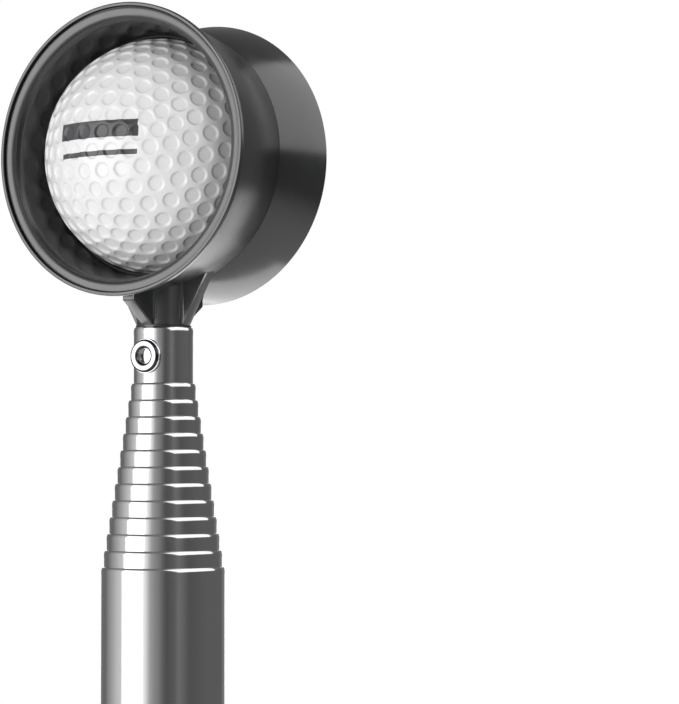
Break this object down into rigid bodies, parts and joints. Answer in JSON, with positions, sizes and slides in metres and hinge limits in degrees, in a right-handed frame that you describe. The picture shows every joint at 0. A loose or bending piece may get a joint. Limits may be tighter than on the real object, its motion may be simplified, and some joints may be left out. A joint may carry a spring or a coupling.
{
  "type": "golf ball retriever",
  "caption": "Telescopic golf ball retriever: a ring-type scoop head that holds a ball, riveted to a collapsing stainless pole with a rubber grip.",
  "frame": {"origin": "centre of the end cap's flat underside, on the pole's axis", "axes": "+Z along the pole towards the head, -Y out of the scoop's mouth, +X to the right seen from the mouth's side"},
  "size_m": [0.0518, 0.0426, 0.4295],
  "materials": {
    "graphite_plastic": "satin moulded graphite plastic",
    "polished_steel": "polished stainless tube",
    "spring_steel": "blackened spring wire",
    "chrome_rivet": "bright plated",
    "washer_steel": "bright plated",
    "ball_cover": "white lacquered cover with dimples",
    "shim_brass": "plain rolled",
    "grip_rubber": "matt moulded rubber",
    "trim_plastic": "satin",
    "plug_nylon": "natural nylon",
    "cap_rubber": "matt moulded rubber",
    "screw_steel": "zinc plated"
  },
  "bodies": {
    "handle": {"tube_13": "polished_steel", "grip": "grip_rubber", "grip_collar": "trim_plastic", "butt_plug": "plug_nylon", "end_cap": "cap_rubber", "end_screw": "screw_steel"},
    "section_12": {"tube_12": "polished_steel", "friction_sleeve_12": "shim_brass"},
    "section_11": {"tube_11": "polished_steel", "friction_sleeve_11": "shim_brass"},
    "section_10": {"tube_10": "polished_steel", "friction_sleeve_10": "shim_brass"},
    "section_09": {"tube_09": "polished_steel", "friction_sleeve_09": "shim_brass"},
    "section_08": {"tube_08": "polished_steel", "friction_sleeve_08": "shim_brass"},
    "section_07": {"tube_07": "polished_steel", "friction_sleeve_07": "shim_brass"},
    "section_06": {"tube_06": "polished_steel", "friction_sleeve_06": "shim_brass"},
    "section_05": {"tube_05": "polished_steel", "friction_sleeve_05": "shim_brass"},
    "section_04": {"tube_04": "polished_steel", "friction_sleeve_04": "shim_brass"},
    "section_03": {"tube_03": "polished_steel", "friction_sleeve_03": "shim_brass"},
    "section_02": {"tube_02": "polished_steel", "friction_sleeve_02": "shim_brass"},
    "head": {"tube_01": "polished_steel", "friction_sleeve_01": "shim_brass", "front_funnel": "graphite_plastic", "rear_funnel": "graphite_plastic", "front_retaining_spring": "spring_steel", "rear_retaining_spring": "spring_steel", "head_rivet": "chrome_rivet", "rivet_washer": "washer_steel"},
    "ball": {"golf_ball": "ball_cover"}
  },
  "joints": [
    {"name": "section_12_slide", "type": "slide", "parent": "handle", "child": "section_12", "axis": [0, 0, 1], "range_m": [0, 0.27]},
    {"name": "section_11_slide", "type": "slide", "parent": "section_12", "child": "section_11", "axis": [0, 0, 1], "range_m": [0, 0.27]},
    {"name": "section_10_slide", "type": "slide", "parent": "section_11", "child": "section_10", "axis": [0, 0, 1], "range_m": [0, 0.27]},
    {"name": "section_09_slide", "type": "slide", "parent": "section_10", "child": "section_09", "axis": [0, 0, 1], "range_m": [0, 0.27]},
    {"name": "section_08_slide", "type": "slide", "parent": "section_09", "child": "section_08", "axis": [0, 0, 1], "range_m": [0, 0.27]},
    {"name": "section_07_slide", "type": "slide", "parent": "section_08", "child": "section_07", "axis": [0, 0, 1], "range_m": [0, 0.27]},
    {"name": "section_06_slide", "type": "slide", "parent": "section_07", "child": "section_06", "axis": [0, 0, 1], "range_m": [0, 0.27]},
    {"name": "section_05_slide", "type": "slide", "parent": "section_06", "child": "section_05", "axis": [0, 0, 1], "range_m": [0, 0.27]},
    {"name": "section_04_slide", "type": "slide", "parent": "section_05", "child": "section_04", "axis": [0, 0, 1], "range_m": [0, 0.27]},
    {"name": "section_03_slide", "type": "slide", "parent": "section_04", "child": "section_03", "axis": [0, 0, 1], "range_m": [0, 0.27]},
    {"name": "section_02_slide", "type": "slide", "parent": "section_03", "child": "section_02", "axis": [0, 0, 1], "range_m": [0, 0.27]},
    {"name": "top_section_slide", "type": "slide", "parent": "section_02", "child": "head", "axis": [0, 0, 1], "range_m": [0, 0.27]},
    {"name": "ball_release", "type": "slide", "parent": "head", "child": "ball", "axis": [0, -1, 0], "range_m": [0, 0.05], "deforming": ["front_retaining_spring", "rear_retaining_spring"]}
  ]
}
